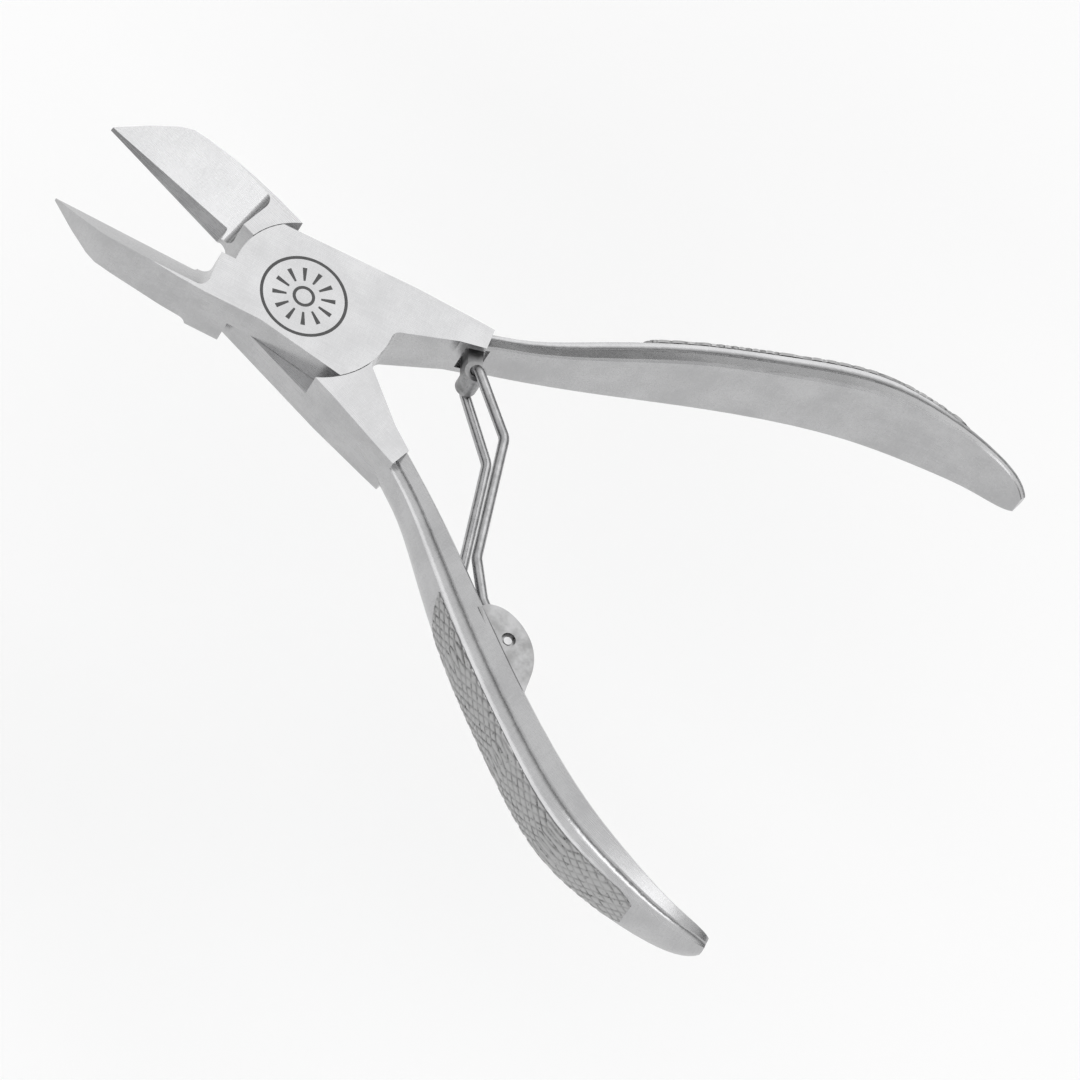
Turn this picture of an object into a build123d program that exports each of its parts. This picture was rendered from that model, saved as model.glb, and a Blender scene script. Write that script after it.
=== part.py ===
from build123d import *
import os
from math import atan2, cos, hypot, radians, sin

# Nail nipper with a lap joint, lying flat. Millimetres. The Z axis is the pivot axis, and z = 0 is the
# rear flat face. +X runs towards the handles, +Y towards the front half's handle.
# Each half is drawn in the closed position about the mid-plane of the joint, then turned open and lifted.

# Joint
JOINT_THICKNESS = 8.6
HALF_ANGLE = 11.5  # each half stands this far open from the closed position, degrees
LAP_GAP = 0.04  # between the two sliding plates
PLATE_RADIUS_JAW = 10.0
PLATE_RADIUS_HANDLE = 12.2
SHOULDER_GAP = 0.1  # plate edge to the other half's shoulder
MID = JOINT_THICKNESS / 2

# Jaws, as distances ahead of the pivot and out from the centre line
JAW_REACH = 33.65
LAND_X = 12.0
CUTTING_EDGE_OFF = 0.02
THROAT_OFF = 0.3
JAW_FACE_DROP = 1.95  # the 45 degree front face lies this far below a plane through the centre line
EDGE_HEIGHT_TIP = -2.40  # cutting edge above the mid-plane, at the tip
EDGE_HEIGHT_BASE = -2.95
BEVEL_SLOPE = 1.483
REAR_SLOPE = 0.12
COVE_RADIUS = 1.2
BEVEL_START_X = 13.5  # the bevel runs out here, just ahead of the front face's cove
BEVEL_COVE_RADIUS = 0.5
BIG = 60.0

# Shank and handle
SHANK_END_X = 24.0
SHANK_TAPER_START_X = 12.6
SHANK_END_DEPTH = 7.0
HANDLE_LIP = 0.35  # width of the thin facet along each inner edge
CREASE_SHARE = (0.46, 0.81)  # crease beside the flute: share of the thickness, share of the half depth
RIDGE_SHARE = (0.86, 0.62)
FLUTE_DEPTH = 0.32
# Handle stations along the inner face: x, y, depth across the tool, thickness
HANDLE_STATIONS = (
    (22.8, 4.9, 6.3, 3.3),
    (28.6, 7.0, 7.2, 3.2),
    (38.0, 10.9, 8.9, 4.1),
    (50.0, 16.5, 11.4, 4.6),
    (62.8, 21.4, 12.2, 4.9),
    (74.6, 24.6, 13.0, 4.9),
    (83.5, 25.2, 11.6, 3.6),
    (90.0, 24.65, 9.2, 2.6),
    (93.6, 23.65, 6.9, 2.1),
    (95.6, 22.75, 3.4, 1.4),
)

# Pivot screw, threaded into the front plate from the rear
SCREW_THREAD_RADIUS = 2.0
SCREW_THREAD_LENGTH = 2.9
SCREW_BEARING_RADIUS = 2.7
SCREW_HEAD_RADIUS = 3.9
SCREW_HEAD_HEIGHT = 1.4
SCREW_SLOT = (0.9, 0.8)  # width and depth of the driver slot
RUNNING_FIT = 0.05

# Spring
WIRE_DIAMETER = 1.4
WIRE_FIT = 0.08
EYE_X, EYE_Y = 24.0, 2.2
EYE_TILT = 17.0  # slope of the front handle's inner face at the eye, degrees
EYE_DIAMETER = 2.9
EYE_LENGTH = 4.2
EYE_STEM = (2.0, 3.4)
EYE_POCKET = (3.2, 5.2)
EYE_POCKET_FLOOR = 3.9  # from the eye's axis to the floor of the pocket
BAR_BEND_RADIUS = 0.9
BAR_SIDE = 3.05  # wire centre out from the mid-plane where a leg leaves the cross-bar
LEG_SIDE = 3.6  # and from the elbow on
ELBOW_CUT = 0.9  # each wire stops this far from the elbow axis
ELBOW = (31.2, 0.15)  # in the open position, as are the bends below
LEG_BENDS = ((37.5, -17.1), (41.3, -21.7))
LEG_END = (43.75, -23.43)
CLOSED_END_RADIUS = 0.9

# Lug on the rear handle
LUG_X, LUG_Y = 51.0, 15.45
LUG_TILT = 23.4  # slope of the inner face at the lug, degrees
LUG_HOLE_HEIGHT = 1.5  # hole axis above the handle's inner face
LUG_HEIGHT = 4.2
LUG_SINK = 0.6
LUG_TAIL, LUG_NOSE = 5.3, 7.8  # reach from the hole towards the pivot and towards the handle's end
CHEEK_IN, CHEEK_OUT = 4.4, 5.3
LUG_FLOOR = 0.35
PIN_RADIUS = 0.55
PIN_SINK_RADIUS = 0.95  # counterbore around each end of the pin
PIN_SINK = 0.55
PIN_RECESS = 0.35


def on_circle(radius, angle):
    """A point on a circle about the pivot, by its angle in degrees."""
    return (radius * cos(radians(angle)), radius * sin(radians(angle)))


def turned(point, angle):
    """A point turned about the pivot by an angle in degrees."""
    return (
        point[0] * cos(radians(angle)) - point[1] * sin(radians(angle)),
        point[0] * sin(radians(angle)) + point[1] * cos(radians(angle)),
    )


# Lap plate and shank, seen from the front: the handle leaves at +Y, the jaw at -Y.
FILLET_START = on_circle(PLATE_RADIUS_HANDLE, -1.5)
SHANK_INNER = (PLATE_RADIUS_HANDLE + 0.9, 0.95)
PLATE_CORNER = on_circle(PLATE_RADIUS_JAW, 128.7)

with BuildPart() as lap_body:
    with BuildSketch(Plane.XY.offset(-MID)):
        with BuildLine():
            jaw_side = ThreePointArc(
                PLATE_CORNER,
                on_circle(PLATE_RADIUS_JAW, 155),
                on_circle(PLATE_RADIUS_JAW, 181.7),
            )
            Polyline(
                jaw_side @ 1,
                (-LAND_X, -THROAT_OFF),
                (-LAND_X, -6.88),
                (-4.0, -6.9),
                on_circle(PLATE_RADIUS_HANDLE, -48),
            )
            ThreePointArc(
                on_circle(PLATE_RADIUS_HANDLE, -48),
                on_circle(PLATE_RADIUS_HANDLE, -25),
                FILLET_START,
            )
            inner_fillet = TangentArc(FILLET_START, SHANK_INNER, tangent=(0, 1))
            Polyline(inner_fillet @ 1, (20.5, 4.2), (SHANK_END_X, 5.2), (SHANK_END_X, 8.3), (21.5, 8.3))
            Line((21.5, 8.3), PLATE_CORNER)
        make_face()
    extrude(amount=JOINT_THICKNESS)
    # The rear layer is open under the plate, for the other half's plate.
    with BuildSketch(Plane.XY.offset(LAP_GAP / 2)):
        Circle(PLATE_RADIUS_HANDLE + SHOULDER_GAP)
        with Locations((-BIG / 2 - 3.0, 0)):
            Rectangle(BIG, BIG, mode=Mode.SUBTRACT)
        Circle(PLATE_RADIUS_JAW + SHOULDER_GAP)
    extrude(amount=-JOINT_THICKNESS, mode=Mode.SUBTRACT)
    # The shank thins evenly on both faces towards the handle.
    taper = (JOINT_THICKNESS - SHANK_END_DEPTH) / 2
    for side in (1, -1):
        with BuildSketch(Plane.XZ.offset(-BIG / 2)):
            with BuildLine():
                Polyline(
                    (SHANK_TAPER_START_X, side * MID),
                    (SHANK_END_X, side * (MID - taper)),
                    (SHANK_END_X, side * 2 * MID),
                    (SHANK_TAPER_START_X, side * 2 * MID),
                    close=True,
                )
            make_face()
        extrude(amount=BIG, mode=Mode.SUBTRACT)


def handle_plane(index):
    """The plane across the handle at a station: x along the thickness, y along the tool's depth."""
    before = HANDLE_STATIONS[max(index - 1, 0)]
    after = HANDLE_STATIONS[min(index + 1, len(HANDLE_STATIONS) - 1)]
    heading = atan2(after[1] - before[1], after[0] - before[0])
    x, y, depth, thickness = HANDLE_STATIONS[index]
    return Plane(origin=(x, y, 0), x_dir=(-sin(heading), cos(heading), 0), z_dir=(cos(heading), sin(heading), 0))


# Handle: a flat inner face, and two long flutes beside a crowned outer face.
with BuildPart() as handle:
    for index, (x, y, depth, thickness) in enumerate(HANDLE_STATIONS):
        half = depth / 2
        crease = (CREASE_SHARE[0] * thickness, CREASE_SHARE[1] * half)
        ridge = (RIDGE_SHARE[0] * thickness, RIDGE_SHARE[1] * half)
        dip = FLUTE_DEPTH * thickness / 4.9
        flute = ((crease[0] + ridge[0]) / 2 - dip, (crease[1] + ridge[1]) / 2 - dip)
        lip = HANDLE_LIP * thickness / 4.9
        with BuildSketch(handle_plane(index)):
            with BuildLine():
                Line((0, -half + lip), (0, half - lip))
                Polyline((0, half - lip), (lip, half), crease)
                ThreePointArc(crease, flute, ridge)
                ThreePointArc(ridge, (thickness, 0), (ridge[0], -ridge[1]))
                ThreePointArc((ridge[0], -ridge[1]), (flute[0], -flute[1]), (crease[0], -crease[1]))
                Polyline((crease[0], -crease[1]), (lip, -half), (0, -half + lip))
            make_face()
    loft()

SHOULDER_RADIUS = PLATE_RADIUS_JAW + SHOULDER_GAP

# Jaw of the front half, at -Y, with the full-thickness land that carries it.
JAW_OUTLINE = (
    (-JAW_REACH, -CUTTING_EDGE_OFF),
    (-JAW_REACH, -0.35),
    (-30.2, -2.95),
    (-27.3, -4.85),
    (-25.8, -5.5),
    (-23.3, -5.87),
    (-16.0, -6.65),
    (-LAND_X, -6.88),
    on_circle(SHOULDER_RADIUS, -137.0),
)


# Heights above the mid-plane at the land and at the tip, rise per millimetre outwards, the side cut away,
# and where the cut starts and the radius it starts with
JAW_CUTS = (
    (-JAW_FACE_DROP, -JAW_FACE_DROP, 1.0, 1, LAND_X, COVE_RADIUS),
    (EDGE_HEIGHT_BASE, EDGE_HEIGHT_TIP, BEVEL_SLOPE, 1, BEVEL_START_X, BEVEL_COVE_RADIUS),
    (EDGE_HEIGHT_BASE, EDGE_HEIGHT_TIP, -REAR_SLOPE, -1, LAND_X, COVE_RADIUS),
)

with BuildPart() as jaw:
    with BuildSketch(Plane.XY.offset(-MID)):
        with BuildLine():
            Polyline(*JAW_OUTLINE)
            ThreePointArc(JAW_OUTLINE[-1], on_circle(SHOULDER_RADIUS, -160), on_circle(SHOULDER_RADIUS, -178.3))
            Polyline(
                on_circle(SHOULDER_RADIUS, -178.3),
                (-BEVEL_START_X + 0.1, -THROAT_OFF),
                (-BEVEL_START_X - 0.2, -CUTTING_EDGE_OFF),
                JAW_OUTLINE[0],
            )
        make_face()
    extrude(amount=JOINT_THICKNESS)
    # Front face, bevel and rear face, each a plane that ends in a cove against the land.
    for base_height, tip_height, slope, side, start_x, radius in JAW_CUTS:
        rise = Vector(0, -1, slope).normalized()
        along = Vector(LAND_X - JAW_REACH, 0, tip_height - base_height)
        across = Plane(origin=Vector(0, 0, base_height) - rise * BIG / 2, x_dir=along, z_dir=rise)
        away = side if across.y_dir.Z > 0 else -side
        slack = radius * (1 - cos(radians(45)))
        with BuildSketch(across):
            with BuildLine():
                Polyline(
                    (start_x + radius, 0),
                    (BIG, 0),
                    (BIG, away * BIG / 2),
                    (start_x, away * BIG / 2),
                    (start_x, away * radius),
                )
                ThreePointArc((start_x, away * radius), (start_x + slack, away * slack), (start_x + radius, 0))
            make_face()
        extrude(amount=BIG, mode=Mode.SUBTRACT)

# Lug: a forged clevis on the rear handle's inner face, with a slot for the two wire legs.
lug_base = Plane(
    origin=(
        LUG_X - LUG_HOLE_HEIGHT * sin(radians(LUG_TILT)),
        -LUG_Y - LUG_HOLE_HEIGHT * cos(radians(LUG_TILT)),
        -CHEEK_OUT,
    ),
    x_dir=(cos(radians(LUG_TILT)), -sin(radians(LUG_TILT)), 0),
    z_dir=(0, 0, 1),
)
with BuildPart() as closed_lug:
    with BuildSketch(lug_base):
        with BuildLine():
            Polyline((-LUG_TAIL, 0.9), (-LUG_TAIL, -LUG_SINK), (LUG_NOSE, -LUG_SINK), (LUG_NOSE, 0.3))
            crown = Spline(
                (LUG_NOSE, 0.3),
                (LUG_NOSE - 3.0, 2.9),
                (LUG_NOSE - 6.0, LUG_HEIGHT),
                (-LUG_TAIL + 2.2, 3.4),
                (-LUG_TAIL, 0.9),
                tangents=((-0.8, 0.6), (-0.4, -1.0)),
            )
        make_face()
    extrude(amount=2 * CHEEK_OUT)
    with BuildSketch(lug_base.offset(CHEEK_OUT - CHEEK_IN)):
        with Locations(((LUG_NOSE - LUG_TAIL) / 2, LUG_FLOOR + LUG_HEIGHT)):
            Rectangle(2 * (LUG_TAIL + LUG_NOSE), 2 * LUG_HEIGHT)
    extrude(amount=2 * CHEEK_IN, mode=Mode.SUBTRACT)
    with BuildSketch(lug_base):
        with Locations((0, LUG_HOLE_HEIGHT)):
            Circle(PIN_RADIUS)
    extrude(amount=2 * CHEEK_OUT, mode=Mode.SUBTRACT)
    for near_face in (lug_base, lug_base.offset(2 * CHEEK_OUT - PIN_SINK)):
        with BuildSketch(near_face):
            with Locations((0, LUG_HOLE_HEIGHT)):
                Circle(PIN_SINK_RADIUS)
        extrude(amount=PIN_SINK, mode=Mode.SUBTRACT)

# The pieces in their places, with the tool open.
FRONT = Plane(origin=(0, 0, MID), x_dir=(cos(radians(HALF_ANGLE)), sin(radians(HALF_ANGLE)), 0), z_dir=(0, 0, 1))
REAR = Plane(origin=(0, 0, MID), x_dir=(cos(radians(HALF_ANGLE)), -sin(radians(HALF_ANGLE)), 0), z_dir=(0, 0, 1))
FLIP = Rotation(180, 0, 0)

eye_frame = Plane(
    origin=(EYE_X, EYE_Y, 0),
    x_dir=(cos(radians(EYE_TILT)), sin(radians(EYE_TILT)), 0),
    z_dir=(0, 0, 1),
)

with BuildPart() as front_closed:
    add(lap_body.part)
    add(handle.part)
    add(jaw.part)
    # Blind thread for the pivot screw, and the milled pocket that holds the spring eye.
    with BuildSketch(Plane.XY):
        Circle(SCREW_THREAD_RADIUS)
    extrude(amount=SCREW_THREAD_LENGTH + 0.1, mode=Mode.SUBTRACT)
    with BuildSketch(eye_frame.offset(-EYE_POCKET[1] / 2)):
        with Locations((0, EYE_POCKET_FLOOR / 2)):
            Rectangle(EYE_POCKET[0], EYE_POCKET_FLOOR)
    extrude(amount=EYE_POCKET[1], mode=Mode.SUBTRACT)

with BuildPart() as rear_closed:
    add(lap_body.part, rotation=(180, 0, 0))
    add(handle.part, rotation=(180, 0, 0))
    add(mirror(jaw.part, about=Plane.XZ, mode=Mode.PRIVATE))
    add(closed_lug.part, mode=Mode.SUBTRACT)
    with BuildSketch(Plane.XY):
        Circle(SCREW_BEARING_RADIUS + RUNNING_FIT)
    extrude(amount=-JOINT_THICKNESS, mode=Mode.SUBTRACT)
    with BuildSketch(Plane.XY.offset(-MID)):
        Circle(SCREW_HEAD_RADIUS + RUNNING_FIT)
    extrude(amount=SCREW_HEAD_HEIGHT + RUNNING_FIT, mode=Mode.SUBTRACT)


def opened(part, plane):
    """A part drawn in the closed position about the mid-plane, moved to its place in the open tool."""
    return part.moved(plane.location)


with BuildPart() as front_half:
    add(opened(front_closed.part, FRONT))
with BuildPart() as rear_half:
    add(opened(rear_closed.part, REAR))
with BuildPart() as spring_lug:
    add(opened(closed_lug.part, REAR))

with BuildPart() as pivot_screw:
    with BuildSketch(Plane.XY):
        Circle(SCREW_HEAD_RADIUS)
    extrude(amount=SCREW_HEAD_HEIGHT)
    with BuildSketch(Plane.XY.offset(SCREW_HEAD_HEIGHT)):
        Circle(SCREW_BEARING_RADIUS)
    extrude(amount=MID + LAP_GAP / 2 - SCREW_HEAD_HEIGHT)
    with BuildSketch(Plane.XY.offset(MID + LAP_GAP / 2)):
        Circle(SCREW_THREAD_RADIUS)
    extrude(amount=SCREW_THREAD_LENGTH - LAP_GAP / 2)
    with BuildSketch(Plane.XY):
        Rectangle(3 * SCREW_HEAD_RADIUS, SCREW_SLOT[0], rotation=30)
    extrude(amount=SCREW_SLOT[1], mode=Mode.SUBTRACT)

# Spring eye: a short barrel along the pivot's direction, on a stem let into the pocket.
with BuildPart() as eye_closed:
    with BuildSketch(eye_frame.offset(-EYE_LENGTH / 2)):
        Circle(EYE_DIAMETER / 2)
    extrude(amount=EYE_LENGTH)
    with BuildSketch(eye_frame.offset(-EYE_STEM[1] / 2)):
        with Locations((0, EYE_POCKET_FLOOR / 2)):
            Rectangle(EYE_STEM[0], EYE_POCKET_FLOOR)
    extrude(amount=EYE_STEM[1])
    with BuildSketch(eye_frame.offset(-EYE_LENGTH / 2)):
        Circle(WIRE_DIAMETER / 2 + WIRE_FIT)
    extrude(amount=EYE_LENGTH, mode=Mode.SUBTRACT)
with BuildPart() as spring_eye:
    add(opened(eye_closed.part, FRONT))

# Lug pin, in both cheeks, its ends a little below their faces.
LUG_AXIS = turned((LUG_X, -LUG_Y), -HALF_ANGLE)
with BuildPart() as lug_pin:
    with BuildSketch(Plane.XY.offset(MID - CHEEK_OUT + PIN_RECESS)):
        with Locations(LUG_AXIS):
            Circle(PIN_RADIUS)
    extrude(amount=2 * (CHEEK_OUT - PIN_RECESS))

# Upper wire: the cross-bar in the eye and two legs that spread towards the elbow.
EYE_AXIS = turned((EYE_X, EYE_Y), HALF_ANGLE)
link = (ELBOW[0] - EYE_AXIS[0], ELBOW[1] - EYE_AXIS[1])
link_length = hypot(*link)
upper_plane = Plane(
    origin=(EYE_AXIS[0], EYE_AXIS[1], MID),
    x_dir=(link[0], link[1], 0),
    z_dir=(link[1], -link[0], 0),
)
with BuildPart() as spring_wire_upper:
    with BuildLine(upper_plane) as upper_path:
        FilletPolyline(
            (link_length - ELBOW_CUT, -LEG_SIDE),
            (0, -BAR_SIDE),
            (0, BAR_SIDE),
            (link_length - ELBOW_CUT, LEG_SIDE),
            radius=BAR_BEND_RADIUS,
        )
    with BuildSketch(Plane(origin=upper_path.line @ 0, z_dir=upper_path.line % 0)):
        Circle(WIRE_DIAMETER / 2)
    sweep(path=upper_path.line)

# Lower wire: two legs from the elbow, bent towards the lug and joined by a closed end in its slot.
run = (LEG_BENDS[0][0] - ELBOW[0], LEG_BENDS[0][1] - ELBOW[1])
run_length = hypot(*run)
leg_start = (ELBOW[0] + run[0] / run_length * ELBOW_CUT, ELBOW[1] + run[1] / run_length * ELBOW_CUT)
with BuildPart() as spring_wire_lower:
    with BuildLine() as lower_path:
        FilletPolyline(
            (*leg_start, MID - LEG_SIDE),
            (*LEG_BENDS[0], MID - LEG_SIDE),
            (*LEG_BENDS[1], MID - LEG_SIDE),
            (*LEG_END, MID - LEG_SIDE),
            (*LEG_END, MID + LEG_SIDE),
            (*LEG_BENDS[1], MID + LEG_SIDE),
            (*LEG_BENDS[0], MID + LEG_SIDE),
            (*leg_start, MID + LEG_SIDE),
            radius=CLOSED_END_RADIUS,
        )
    with BuildSketch(Plane(origin=lower_path.line @ 0, z_dir=lower_path.line % 0)):
        Circle(WIRE_DIAMETER / 2)
    sweep(path=lower_path.line)

os.makedirs("parts", exist_ok=True)
front_half.part.label = "front_half"
export_step(front_half.part, "parts/front_half.step")
rear_half.part.label = "rear_half"
export_step(rear_half.part, "parts/rear_half.step")
pivot_screw.part.label = "pivot_screw"
export_step(pivot_screw.part, "parts/pivot_screw.step")
spring_eye.part.label = "spring_eye"
export_step(spring_eye.part, "parts/spring_eye.step")
spring_lug.part.label = "spring_lug"
export_step(spring_lug.part, "parts/spring_lug.step")
lug_pin.part.label = "lug_pin"
export_step(lug_pin.part, "parts/lug_pin.step")
spring_wire_upper.part.label = "spring_wire_upper"
export_step(spring_wire_upper.part, "parts/spring_wire_upper.step")
spring_wire_lower.part.label = "spring_wire_lower"
export_step(spring_wire_lower.part, "parts/spring_wire_lower.step")
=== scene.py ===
"""Nail nipper: dresses the fixed CAD frame and adds the knurling, the spring wire and the etched mark."""

import logging
import math
from dataclasses import dataclass, field
from enum import Enum
from typing import Any, Sequence

import bpy
from mathutils import Matrix, Vector, noise


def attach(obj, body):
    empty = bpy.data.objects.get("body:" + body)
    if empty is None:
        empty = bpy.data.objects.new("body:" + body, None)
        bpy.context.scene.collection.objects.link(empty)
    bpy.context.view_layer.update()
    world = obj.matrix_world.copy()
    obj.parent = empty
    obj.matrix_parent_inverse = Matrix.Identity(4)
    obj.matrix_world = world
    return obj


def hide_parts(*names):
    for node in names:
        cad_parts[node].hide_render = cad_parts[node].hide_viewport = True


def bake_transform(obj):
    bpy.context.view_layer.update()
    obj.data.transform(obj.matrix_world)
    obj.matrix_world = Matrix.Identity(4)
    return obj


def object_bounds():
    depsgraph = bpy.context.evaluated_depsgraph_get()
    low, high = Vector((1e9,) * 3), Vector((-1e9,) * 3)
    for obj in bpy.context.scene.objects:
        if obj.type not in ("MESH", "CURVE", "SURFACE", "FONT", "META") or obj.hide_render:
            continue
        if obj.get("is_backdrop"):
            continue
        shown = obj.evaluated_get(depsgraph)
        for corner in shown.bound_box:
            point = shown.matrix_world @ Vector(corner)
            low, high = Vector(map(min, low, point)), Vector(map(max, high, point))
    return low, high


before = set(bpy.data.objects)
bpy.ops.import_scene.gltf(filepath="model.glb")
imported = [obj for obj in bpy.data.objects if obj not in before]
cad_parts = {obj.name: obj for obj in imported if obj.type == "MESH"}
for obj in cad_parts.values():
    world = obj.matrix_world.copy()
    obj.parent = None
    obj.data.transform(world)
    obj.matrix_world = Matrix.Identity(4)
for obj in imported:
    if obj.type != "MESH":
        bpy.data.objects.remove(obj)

LOG = logging.getLogger("nail_nipper")
MM = 0.001
HALF_ANGLE = math.radians(11.5)
"""Each half stands this far open from the closed position."""
FRONT_FACE_Z = 8.6 * MM
MID_Z = FRONT_FACE_Z / 2


class Side(Enum):
    """Which half of the tool a piece belongs to; the value is the sign of its handle's Y."""

    FRONT = 1
    REAR = -1

    @property
    def node(self) -> str:
        """The CAD node of this half."""
        return "front_half" if self is Side.FRONT else "rear_half"

    @property
    def body(self) -> str:
        """The body that this half's pieces ride on."""
        return "front" if self is Side.FRONT else "rear"

    @property
    def slot(self) -> str:
        """The name of this half's material."""
        return "satin_steel_front" if self is Side.FRONT else "satin_steel_rear"

    def place(self, x: float, y: float, z: float) -> Vector:
        """Turns a point of the closed half, drawn with its handle at +Y, to its place in the open tool.

        Args:
            x: Distance towards the handle's end, in metres.
            y: Distance out from the centre line, in metres.
            z: Height, in metres.

        Returns:
            The point in the row frame.
        """
        turned = Matrix.Rotation(HALF_ANGLE, 3, "Z") @ Vector((x, y, z))
        return Vector((turned.x, turned.y * self.value, turned.z))


class Signal:
    """A shader socket that takes part in Python arithmetic by adding Math nodes."""

    def __init__(self, graph: "Graph", socket: bpy.types.NodeSocket) -> None:
        """Wraps an output socket of a graph."""
        self.graph = graph
        self.socket = socket

    def _math(self, operation: str, first: Any, second: Any = 0.0, clamp: bool = False) -> "Signal":
        """Adds one Math node and returns its output."""
        settings = {"operation": operation, "use_clamp": clamp}
        return self.graph.add("ShaderNodeMath", settings, {0: first, 1: second})["Value"]

    def __add__(self, other: Any) -> "Signal":
        """Sum."""
        return self._math("ADD", self, other)

    __radd__ = __add__

    def __sub__(self, other: Any) -> "Signal":
        """Difference."""
        return self._math("SUBTRACT", self, other)

    def __rsub__(self, other: Any) -> "Signal":
        """Reflected difference."""
        return self._math("SUBTRACT", other, self)

    def __mul__(self, other: Any) -> "Signal":
        """Product."""
        return self._math("MULTIPLY", self, other)

    __rmul__ = __mul__

    def step(self, low: float, high: float) -> "Signal":
        """A smooth rise from 0 at low to 1 at high."""
        settings = {"interpolation_type": "SMOOTHSTEP"}
        inputs = {"Value": self, "From Min": low, "From Max": high, "To Min": 0.0, "To Max": 1.0}
        return self.graph.add("ShaderNodeMapRange", settings, inputs)["Result"]

    def clamp(self) -> "Signal":
        """The value held between 0 and 1."""
        return self._math("ADD", self, 0.0, clamp=True)

    def size(self) -> "Signal":
        """The absolute value."""
        return self._math("ABSOLUTE", self)


class Graph:
    """One material's node tree, with a single method that adds any node."""

    def __init__(self, name: str) -> None:
        """Starts a material that holds only its output node.

        Args:
            name: The material's name.
        """
        self.material = bpy.data.materials.new(name)
        self.material.use_nodes = True
        self.tree = self.material.node_tree
        self.tree.nodes.clear()
        self.output = self.tree.nodes.new("ShaderNodeOutputMaterial")

    def add(
        self, kind: str, settings: dict[str, Any] | None = None, inputs: dict[Any, Any] | None = None
    ) -> dict[str, Signal]:
        """Adds a node.

        Args:
            kind: The node's type.
            settings: Its properties, which are set first; "stops" are a ramp's (position, grey) pairs.
            inputs: Values or signals of its sockets, by name or index.

        Returns:
            The node's outputs.
        """
        node = self.tree.nodes.new(kind)
        for key, value in (settings or {}).items():
            if key == "stops":
                self._stops(node, value)
            else:
                setattr(node, key, value)
        for key, value in (inputs or {}).items():
            socket = node.inputs[key]
            if isinstance(value, Signal):
                self.tree.links.new(value.socket, socket)
            else:
                socket.default_value = value
        return {out.name: Signal(self, out) for out in node.outputs if out.enabled}

    @staticmethod
    def _stops(node: bpy.types.Node, stops: Sequence[tuple[float, float]]) -> None:
        """Sets a ramp's stops to greys."""
        ramp = node.color_ramp
        while len(ramp.elements) < len(stops):
            ramp.elements.new(0.5)
        for element, (position, grey) in zip(ramp.elements, stops):
            element.position = position
            element.color = (grey, grey, grey, 1.0)

    def object_coordinates(self, scale: Sequence[float], turn: float = 0.0) -> Signal:
        """Object coordinates, turned about Z and scaled.

        Args:
            scale: Scale along the three axes after the turn.
            turn: Angle in radians.

        Returns:
            The vector.
        """
        place = self.add("ShaderNodeTexCoord")["Object"]
        turned = self.add("ShaderNodeMapping", {}, {"Vector": place, "Rotation": (0.0, 0.0, turn)})["Vector"]
        return self.add("ShaderNodeMapping", {}, {"Vector": turned, "Scale": tuple(scale)})["Vector"]

    def noise(self, scale: Sequence[float], detail: float = 3.0, turn: float = 0.0) -> Signal:
        """Noise on object coordinates, with its own scale along each axis, per metre."""
        vector = self.object_coordinates(scale, turn)
        inputs = {"Vector": vector, "Scale": 1.0, "Detail": detail, "Roughness": 0.6}
        return self.add("ShaderNodeTexNoise", {}, inputs)["Fac"]

    def part(self, vector: Signal, axis: str) -> Signal:
        """One component of a vector."""
        return self.add("ShaderNodeSeparateXYZ", {}, {"Vector": vector})[axis]

    def blend(self, share: Any, low: Sequence[float], high: Any) -> Signal:
        """A colour between two, by share."""
        settings = {"data_type": "RGBA", "blend_type": "MIX"}
        inputs: dict[Any, Any] = {0: share, 6: low if isinstance(low, Signal) else (*low, 1.0)}
        inputs[7] = high if isinstance(high, Signal) else (*high, 1.0)
        node = self.tree.nodes.new("ShaderNodeMix")
        for key, value in settings.items():
            setattr(node, key, value)
        for key, value in inputs.items():
            if isinstance(value, Signal):
                self.tree.links.new(value.socket, node.inputs[key])
            else:
                node.inputs[key].default_value = value
        return Signal(self, node.outputs[2])

    def bump(self, height: Signal, distance: float, strength: float = 1.0) -> Signal:
        """A bump normal from a height between 0 and 1."""
        inputs = {"Height": height, "Distance": distance, "Strength": strength}
        return self.add("ShaderNodeBump", {}, inputs)["Normal"]

    def finish(self, inputs: dict[str, Any]) -> bpy.types.Material:
        """Closes the material with one principled shader.

        Args:
            inputs: The shader's sockets.

        Returns:
            The material.
        """
        shader = self.add("ShaderNodeBsdfPrincipled", {}, inputs)["BSDF"]
        self.tree.links.new(shader.socket, self.output.inputs["Surface"])
        return self.material


@dataclass(frozen=True)
class SatinSteel:
    """Brushed stainless steel of the forged halves, grained along the tool."""

    name: str
    turn: float
    light: tuple[float, float, float] = (0.52, 0.52, 0.525)
    dark: tuple[float, float, float] = (0.40, 0.40, 0.405)
    roughness: float = 0.27

    def build(self) -> bpy.types.Material:
        """Makes the material."""
        graph = Graph(self.name)
        grain = graph.noise((500.0, 9000.0, 9000.0), 4.0, self.turn)
        cross = graph.noise((7000.0, 700.0, 700.0), 3.0, self.turn)
        cloud = graph.noise((160.0, 160.0, 160.0), 4.0, self.turn)
        mottle = (cloud * 0.5 + grain * 0.3 + cross * 0.2).step(0.30, 0.70)
        colour = graph.blend(mottle, self.dark, self.light)
        rough = self.roughness + 0.10 * grain + 0.08 * cloud - 0.09
        normal = graph.bump(grain * 0.6 + cross * 0.4, 0.00001, 0.35)
        return graph.finish({"Base Color": colour, "Metallic": 1.0, "Roughness": rough, "Normal": normal})


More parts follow.
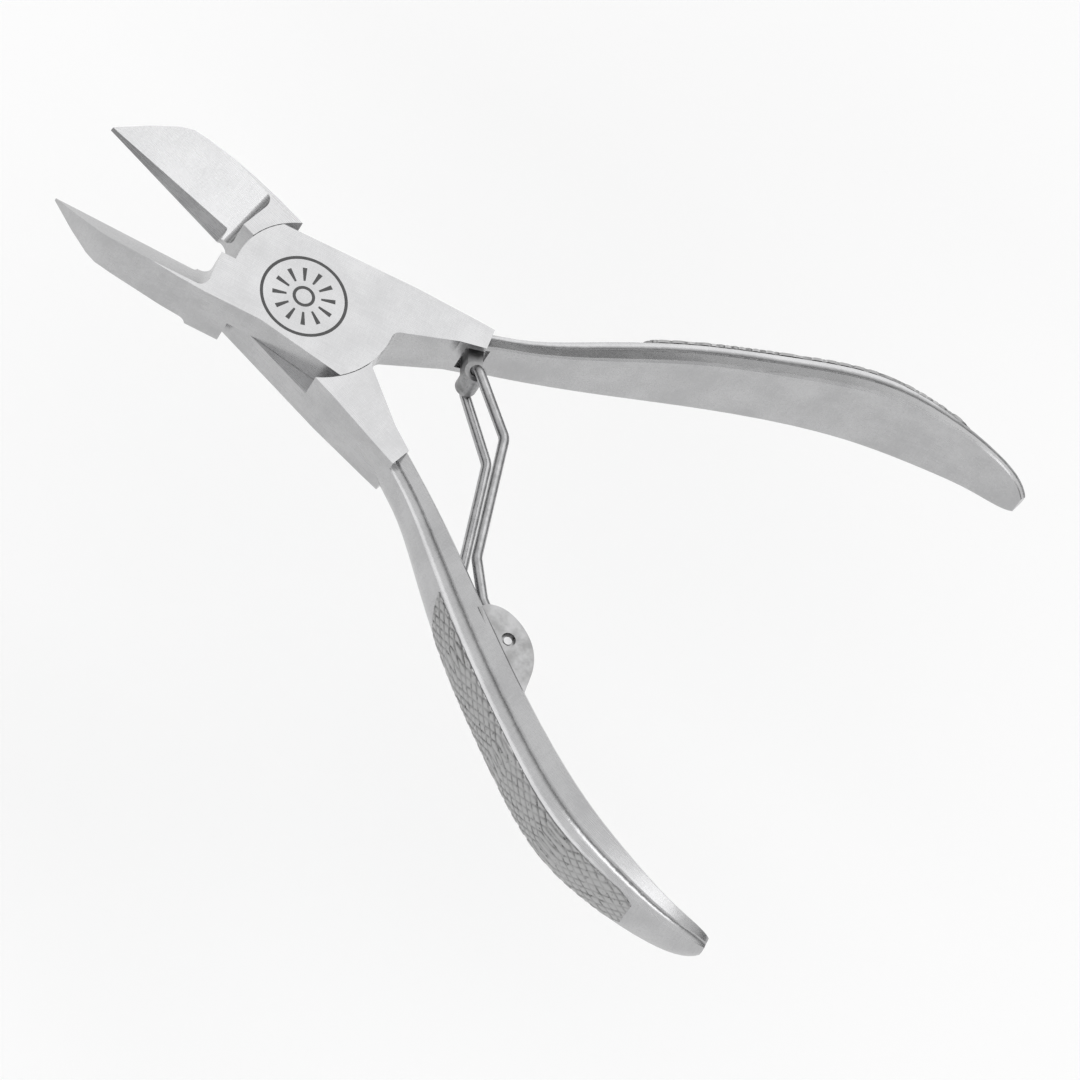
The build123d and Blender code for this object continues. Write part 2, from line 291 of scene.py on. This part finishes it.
@dataclass(frozen=True)
class KnurlSteel:
    """The knurled grip: flat worn crests, with painted shade that darkens the grooves by their depth, more in noisy
    patches, and dark pits.
    """

    name: str
    crest: tuple[float, float, float] = (0.42, 0.42, 0.42)
    # groove: the dark colour of the painted groove shade and of the pits
    groove: tuple[float, float, float] = (0.10, 0.10, 0.10)

    def build(self) -> bpy.types.Material:
        """Makes the material, which reads the piece's own depth attribute."""
        graph = Graph(self.name)
        depth = graph.add("ShaderNodeAttribute", {"attribute_name": "depth"})["Fac"]
        shade_and_pit_patches = graph.noise((900.0, 900.0, 900.0), 4.0).step(0.40, 0.66)
        pits = graph.noise((2600.0, 2600.0, 2600.0), 2.0).step(0.60, 0.70)
        # Painted shade: the colour darkens with the groove depth attribute, most in the noisy patches; the pits are
        # dark noise specks in the same patches.
        share = (depth * (0.25 + 0.75 * shade_and_pit_patches) + pits * shade_and_pit_patches * 0.7).clamp()
        colour = graph.blend(share, self.crest, self.groove)
        rough = 0.34 + 0.22 * share
        normal = graph.bump(graph.noise((3800.0, 3800.0, 3800.0), 3.0), 0.00002, 0.4)
        return graph.finish({"Base Color": colour, "Metallic": 1.0, "Roughness": rough, "Normal": normal})


@dataclass(frozen=True)
class ForgedSteel:
    """Tumbled steel with specks of scale, for the lug and the spring eye."""

    name: str
    light: tuple[float, float, float] = (0.46, 0.46, 0.465)
    dark: tuple[float, float, float] = (0.28, 0.28, 0.28)
    speck: tuple[float, float, float] = (0.07, 0.07, 0.07)
    speckled: float = 1.0

    def build(self) -> bpy.types.Material:
        """Makes the material; the specks gather on faces that look sideways."""
        graph = Graph(self.name)
        facing = graph.part(graph.add("ShaderNodeTexCoord")["Normal"], "Z").size()
        rim = 1.0 - facing.step(0.2, 0.6)
        cloud = graph.noise((420.0, 420.0, 420.0), 4.0)
        specks = graph.noise((1900.0, 1900.0, 1900.0), 2.0).step(0.55, 0.66) * rim * self.speckled
        colour = graph.blend(specks, graph.blend(cloud.step(0.3, 0.7), self.dark, self.light), self.speck)
        rough = 0.34 + 0.10 * cloud + 0.25 * specks
        normal = graph.bump(cloud - specks * 0.5, 0.00005, 0.5)
        return graph.finish({"Base Color": colour, "Metallic": 1.0, "Roughness": rough, "Normal": normal})


@dataclass(frozen=True)
class DrawnSteel:
    """Bright drawn or turned steel, for the wire, the pin and the screw."""

    name: str
    light: tuple[float, float, float] = (0.60, 0.60, 0.605)
    dark: tuple[float, float, float] = (0.42, 0.42, 0.425)
    roughness: float = 0.22

    def build(self) -> bpy.types.Material:
        """Makes the material."""
        graph = Graph(self.name)
        drawn = graph.noise((900.0, 900.0, 5200.0), 3.0)
        cloud = graph.noise((260.0, 260.0, 260.0), 3.0)
        colour = graph.blend((drawn * 0.5 + cloud * 0.5).step(0.32, 0.68), self.dark, self.light)
        rough = self.roughness + 0.10 * drawn
        return graph.finish(
            {"Base Color": colour, "Metallic": 1.0, "Roughness": rough, "Normal": graph.bump(drawn, 0.00001, 0.4)}
        )


@dataclass(frozen=True)
class EtchedMark:
    """A dark etched mark, slightly uneven."""

    name: str = "etched_mark"

    def build(self) -> bpy.types.Material:
        """Makes the material."""
        graph = Graph(self.name)
        cloud = graph.noise((2400.0, 2400.0, 2400.0), 3.0)
        colour = graph.blend(cloud, (0.05, 0.05, 0.052), (0.13, 0.13, 0.13))
        return graph.finish({"Base Color": colour, "Metallic": 0.4, "Roughness": 0.5 + 0.2 * cloud})


@dataclass(frozen=True)
class PaleFloor:
    """A plain pale studio floor."""

    name: str = "pale_floor"

    def build(self) -> bpy.types.Material:
        """Makes the material."""
        graph = Graph(self.name)
        cloud = graph.noise((4.0, 4.0, 4.0), 2.0)
        colour = graph.blend(cloud, (0.96, 0.96, 0.96), (0.98, 0.98, 0.98))
        return graph.finish({"Base Color": colour, "Roughness": 0.9})


def deselect() -> None:
    """Leaves nothing selected and no active object."""
    if bpy.context.object and bpy.context.object.mode != "OBJECT":
        bpy.ops.object.mode_set(mode="OBJECT")
    bpy.ops.object.select_all(action="DESELECT")


def dress(thing: bpy.types.Object, material: bpy.types.Material) -> None:
    """Gives every material slot of an object one material."""
    if not thing.material_slots:
        thing.data.materials.append(material)
    for place in thing.material_slots:
        place.material = material


def settle(thing: bpy.types.Object, name: str, smooth: float = 35.0) -> bpy.types.Object:
    """Applies an object's place, names it and smooths its shading.

    Args:
        thing: The new object, active and selected.
        name: Its final name.
        smooth: The largest angle in degrees that is shaded smooth.

    Returns:
        The same object.
    """
    bpy.ops.object.transform_apply(location=True, rotation=True, scale=True)
    bpy.ops.object.shade_smooth_by_angle(angle=math.radians(smooth))
    thing.name = name
    thing.data.name = name
    return thing


@dataclass
class Halves:
    """The two forged halves and the small fixed pieces, all of them carried over from CAD."""

    def build(self) -> None:
        """Dresses every CAD node that stays visible."""
        finishes = {
            "front_half": SatinSteel("satin_steel_front", -HALF_ANGLE),
            "rear_half": SatinSteel("satin_steel_rear", HALF_ANGLE),
            "pivot_screw": DrawnSteel("screw_steel", roughness=0.3),
            "spring_eye": ForgedSteel("eye_steel", (0.36, 0.36, 0.365), (0.20, 0.20, 0.20), speckled=0.3),
            "spring_lug": ForgedSteel("lug_steel"),
            "lug_pin": DrawnSteel("pin_steel"),
        }
        for node, finish in finishes.items():
            dress(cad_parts[node], finish.build())
            LOG.info("dressed %s", node)


@dataclass
class KnurledGrip:
    """The knurled panel on a handle's outer face, a thin skin with real diamonds."""

    side: Side
    centre_line: tuple[tuple[float, float], ...] = (
        (40.0, 11.8), (50.0, 16.5), (62.8, 21.4), (74.6, 24.6), (83.5, 25.2), (90.0, 24.65),
    )
    start_x: float = 42.0
    end_x: float = 86.0
    slant: float = 0.55
    half_widths: tuple[tuple[float, float], ...] = ((40.0, 2.6), (50.0, 3.4), (62.8, 3.7), (74.6, 3.9), (86.0, 3.2))
    pitch_along: float = 1.9
    pitch_across: float = 1.25
    groove: float = 0.16
    rise: float = 0.15
    columns: int = 330
    rows: int = 54

    @staticmethod
    def _between(table: Sequence[tuple[float, float]], x: float) -> float:
        """Linear interpolation in a short table."""
        for (x0, y0), (x1, y1) in zip(table, table[1:]):
            if x <= x1:
                return y0 + (y1 - y0) * (x - x0) / (x1 - x0)
        return table[-1][1]

    def _crest(self, along: float, across: float) -> float:
        """How deep the grooves are at a point of the panel, from 0 on a crest to 1 in a groove."""
        deepest = 0.0
        for direction in (1, -1):
            phase = along / self.pitch_along + direction * across / self.pitch_across
            distance = abs(phase - round(phase))
            deepest = max(deepest, 1.0 - min(distance / 0.20, 1.0))
        return deepest * deepest * (3 - 2 * deepest)

    def build(self) -> bpy.types.Object:
        """Makes the panel on the handle's own surface.

        Returns:
            The panel.
        """
        deselect()
        bpy.ops.mesh.primitive_grid_add(x_subdivisions=self.columns, y_subdivisions=self.rows, size=2)
        panel = bpy.context.object
        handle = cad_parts[self.side.node]
        depths = []
        for vertex in panel.data.vertices:
            across = vertex.co.y
            begin = self.start_x + self.slant * (1 + across) * 3.0
            x = begin + (self.end_x - begin) * (vertex.co.x + 1) / 2
            y = self._between(self.centre_line, x)
            slope = (self._between(self.centre_line, x + 1.5) - self._between(self.centre_line, x - 1.5)) / 3.0
            length = math.hypot(1.0, slope)
            out = (-slope / length, 1.0 / length)
            tip = max(0.0, (x - self.end_x + 3.0) / 3.0)
            width = self._between(self.half_widths, x) * math.sqrt(max(0.0, 1.0 - 0.55 * tip * tip))
            z = MID_Z + self.side.value * across * width * MM
            origin = self.side.place((x + 12 * out[0]) * MM, (y + 12 * out[1]) * MM, z)
            target = self.side.place(x * MM, y * MM, z)
            hit, where, normal, _ = handle.ray_cast(origin, (target - origin).normalized())
            wear = 0.55 + 0.45 * noise.noise(where * 260.0)
            depth = self._crest(x * length, across * width) * (0.45 + 0.55 * max(0.0, min(1.0, wear)))
            depths.append(depth)
            vertex.co = where + normal * (self.rise - self.groove * depth * 0.85) * MM
        attribute = panel.data.attributes.new("depth", "FLOAT", "POINT")
        attribute.data.foreach_set("value", depths)
        bpy.ops.object.mode_set(mode="EDIT")
        bpy.ops.mesh.select_all(action="SELECT")
        if self.side is Side.REAR:
            bpy.ops.mesh.flip_normals()
        bpy.ops.object.mode_set(mode="OBJECT")
        skin = panel.modifiers.new("skin", "SOLIDIFY")
        skin.thickness = 0.35 * MM
        skin.offset = -1.0
        bpy.ops.object.modifier_apply(modifier="skin")
        settle(panel, f"knurled_grip_{self.side.body}", 60.0)
        dress(panel, KnurlSteel(f"knurl_{self.side.body}").build())
        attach(panel, self.side.body)
        LOG.info("built %s", panel.name)
        return panel


@dataclass
class SpringWire:
    """The wire strut as one bent wire, a closed loop from the eye to the lug."""

    diameter: float = 1.4
    # Corners down one side: x, y, distance from the mid-plane, bend radius
    corners: tuple[tuple[float, float, float, float], ...] = (
        (23.08, 6.94, 3.05, 0.9),
        (31.2, 0.15, 3.6, 2.4),
        (37.5, -17.1, 3.6, 2.6),
        (41.3, -21.7, 3.6, 2.0),
        (43.75, -23.43, 3.6, 0.9),
    )
    elbow_reach: float = 2.4

    def _loop(self) -> list[tuple[Vector, float]]:
        """The loop's corners with their bend radii, in metres."""
        near = [(Vector((x, y, 0)) * MM + Vector((0, 0, MID_Z + w * MM)), r * MM) for x, y, w, r in self.corners]
        far = [(Vector((x, y, 0)) * MM + Vector((0, 0, MID_Z - w * MM)), r * MM) for x, y, w, r in self.corners]
        return near + far[::-1]

    def build(self) -> bpy.types.Object:
        """Makes the wire in place of the CAD wire pieces, which it hides.

        Returns:
            The wire.
        """
        deselect()
        bpy.ops.curve.primitive_bezier_curve_add(enter_editmode=False)
        wire = bpy.context.object
        curve = wire.data
        curve.dimensions = "3D"
        curve.splines.clear()
        spline = curve.splines.new("BEZIER")
        loop = self._loop()
        spline.bezier_points.add(2 * len(loop) - 1)
        spline.use_cyclic_u = True
        for index, (corner, radius) in enumerate(loop):
            before = (loop[index - 1][0] - corner).normalized()
            after = (loop[(index + 1) % len(loop)][0] - corner).normalized()
            bend = math.pi - before.angle(after)
            reach = radius * math.tan(bend / 2)
            pull = 4 / 3 * math.tan(bend / 4) * radius
            for offset, toward, away in ((0, before, 1), (1, after, -1)):
                point = spline.bezier_points[2 * index + offset]
                point.handle_left_type = point.handle_right_type = "FREE"
                point.co = corner + toward * reach
                inner = point.co - toward * pull
                outer = point.co + toward * pull
                point.handle_left = outer if away == 1 else inner
                point.handle_right = inner if away == 1 else outer
        curve.resolution_u = 10
        curve.bevel_depth = self.diameter / 2 * MM
        curve.bevel_resolution = 5
        bpy.ops.object.convert(target="MESH")
        wire = bpy.context.object
        bpy.ops.object.mode_set(mode="EDIT")
        bpy.ops.mesh.select_all(action="SELECT")
        bpy.ops.mesh.remove_doubles(threshold=0.000001)
        bpy.ops.mesh.normals_make_consistent(inside=False)
        bpy.ops.object.mode_set(mode="OBJECT")
        settle(wire, "spring_wire", 60.0)
        dress(wire, DrawnSteel("spring_wire", (0.48, 0.48, 0.485), (0.30, 0.30, 0.305)).build())
        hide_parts("spring_wire_upper", "spring_wire_lower")
        elbow = Vector((self.corners[1][0], self.corners[1][1], 0)) * MM + Vector((0, 0, MID_Z))
        bend = Vector((self.corners[2][0], self.corners[2][1], 0)) * MM + Vector((0, 0, MID_Z))
        end = elbow + (bend - elbow).normalized() * self.elbow_reach * MM
        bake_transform(wire)
        LOG.info("built %s", wire.name)
        return wire


@dataclass
class Emblem:
    """A plain etched ring with short rays on the front plate."""

    centre: tuple[float, float] = (0.0, -0.8)
    radius: float = 5.85
    line: float = 0.42
    inner_radius: float = 1.5
    rays: int = 12
    ray_from: float = 2.3
    ray_to: float = 4.2
    height: float = 0.012

    def _ring(self, radius: float) -> bpy.types.Object:
        """A flat ring, from a circle that is filled, inset and hollowed.

        Args:
            radius: The ring's outer radius in millimetres.

        Returns:
            The ring, one face thick.
        """
        deselect()
        place = (self.centre[0] * MM, self.centre[1] * MM, FRONT_FACE_Z + self.height * MM)
        bpy.ops.mesh.primitive_circle_add(vertices=96, radius=radius * MM, fill_type="NGON", location=place)
        ring = bpy.context.object
        bpy.ops.object.mode_set(mode="EDIT")
        bpy.ops.mesh.select_all(action="SELECT")
        bpy.ops.mesh.inset(thickness=self.line * MM)
        bpy.ops.mesh.delete(type="FACE")
        bpy.ops.object.mode_set(mode="OBJECT")
        return ring

    def _ray(self, index: int) -> bpy.types.Object:
        """One short ray, a plane narrowed towards the centre."""
        deselect()
        angle = 2 * math.pi * index / self.rays
        middle = (self.ray_from + self.ray_to) / 2
        place = Vector((self.centre[0] + middle * math.cos(angle), self.centre[1] + middle * math.sin(angle), 0)) * MM
        place.z = FRONT_FACE_Z + self.height * MM
        bpy.ops.mesh.primitive_plane_add(size=1, location=place, rotation=(0, 0, angle))
        ray = bpy.context.object
        ray.scale = ((self.ray_to - self.ray_from) * MM, 0.62 * MM, 1)
        for vertex in ray.data.vertices:
            if vertex.co.x < 0:
                vertex.co.y *= 0.45
        return ray

    def build(self) -> bpy.types.Object:
        """Makes the mark.

        Returns:
            The mark, as one piece.
        """
        parts = [self._ring(self.radius), self._ring(self.inner_radius)]
        parts += [self._ray(index) for index in range(self.rays)]
        deselect()
        for part in parts:
            part.select_set(True)
        bpy.context.view_layer.objects.active = parts[0]
        bpy.ops.object.join()
        mark = bpy.context.object
        bpy.ops.object.transform_apply(location=True, rotation=True, scale=True)
        body = mark.modifiers.new("body", "SOLIDIFY")
        body.thickness = 2 * self.height * MM
        body.offset = -1.0
        bpy.ops.object.modifier_apply(modifier="body")
        settle(mark, "etched_emblem")
        dress(mark, EtchedMark().build())
        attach(mark, "front")
        LOG.info("built %s", mark.name)
        return mark


@dataclass
class Studio:
    """The pale floor, the soft lights and the camera."""

    right: Vector = field(default_factory=lambda: Vector((0.8081, 0.4967, 0.3167)))
    up: Vector = field(default_factory=lambda: Vector((-0.5887, 0.6640, 0.4608)))
    back: Vector = field(default_factory=lambda: Vector((0.0185, -0.5589, 0.8290)))
    distance: float = 1.3335
    shift_right: float = 0.02965
    shift_up: float = -0.03150
    lens: float = 350.0
    floor_drop: float = 0.060
    horizon: float = 0.20
    zenith: float = 1.30

    def _floor(self) -> None:
        """A wide plane well below the tool."""
        deselect()
        low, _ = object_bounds()
        bpy.ops.mesh.primitive_plane_add(size=12, location=(0, 0, low.z - self.floor_drop))
        floor = bpy.context.object
        floor.name = "floor"
        dress(floor, PaleFloor().build())
        floor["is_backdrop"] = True

    def _softbox(self, name: str, toward: Sequence[float], size: tuple[float, float], power: float) -> None:
        """One rectangular area light aimed at the joint.

        Args:
            name: The light's name.
            toward: Where it hangs, in metres.
            size: Its width and height in metres.
            power: Its power in watts.
        """
        deselect()
        bpy.ops.object.light_add(type="AREA", location=toward)
        lamp = bpy.context.object
        lamp.name = name
        lamp.data.shape = "RECTANGLE"
        lamp.data.size, lamp.data.size_y = size
        lamp.data.energy = power
        lamp.rotation_mode = "QUATERNION"
        lamp.rotation_quaternion = Vector(toward).to_track_quat("Z", "Y")

    def _world(self) -> None:
        """An even sky that is darker below the horizon."""
        world = bpy.data.worlds.new("studio")
        bpy.context.scene.world = world
        world.use_nodes = True
        tree = world.node_tree
        tree.nodes.clear()
        output = tree.nodes.new("ShaderNodeOutputWorld")
        background = tree.nodes.new("ShaderNodeBackground")
        direction = tree.nodes.new("ShaderNodeTexCoord")
        split = tree.nodes.new("ShaderNodeSeparateXYZ")
        sky = tree.nodes.new("ShaderNodeMapRange")
        sky.interpolation_type = "SMOOTHSTEP"
        sky.inputs["From Min"].default_value = 0.0
        sky.inputs["From Max"].default_value = 0.75
        sky.inputs["To Min"].default_value = self.horizon
        sky.inputs["To Max"].default_value = self.zenith
        tree.links.new(direction.outputs["Generated"], split.inputs["Vector"])
        tree.links.new(split.outputs["Z"], sky.inputs["Value"])
        tree.links.new(sky.outputs["Result"], background.inputs["Strength"])
        tree.links.new(background.outputs["Background"], output.inputs["Surface"])

    def _camera(self) -> None:
        """A long lens on the tool's front, turned as a hand would hold it."""
        deselect()
        place = Vector((0, 0, FRONT_FACE_Z)) + self.right * self.shift_right + self.up * self.shift_up
        place += self.back * self.distance
        bpy.ops.object.camera_add(location=place)
        camera = bpy.context.object
        camera.data.lens = self.lens
        camera.data.sensor_width = 36.0
        camera.data.clip_end = 50.0
        turn = Matrix((self.right, self.up, self.back)).transposed()
        camera.rotation_mode = "QUATERNION"
        camera.rotation_quaternion = turn.to_quaternion()
        bpy.context.scene.camera = camera

    def build(self) -> None:
        """Sets the stage."""
        self._floor()
        self._world()
        self._softbox("key", (0.05, 0.80, 1.15), (1.0, 0.6), 1.3)
        self._softbox("front", (0.0, -1.25, 0.80), (1.2, 0.45), 3.8)
        self._camera()
        bpy.context.scene.view_settings.view_transform = "Standard"
        LOG.info("set the studio")


def main() -> None:
    """Builds the tool's pieces in order, then the studio."""
    logging.basicConfig(level=logging.INFO, format="%(name)s: %(message)s")
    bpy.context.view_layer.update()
    Halves().build()
    for side in Side:
        KnurledGrip(side).build()
    SpringWire().build()
    Emblem().build()
    Studio().build()


if __name__ == "__main__":
    main()
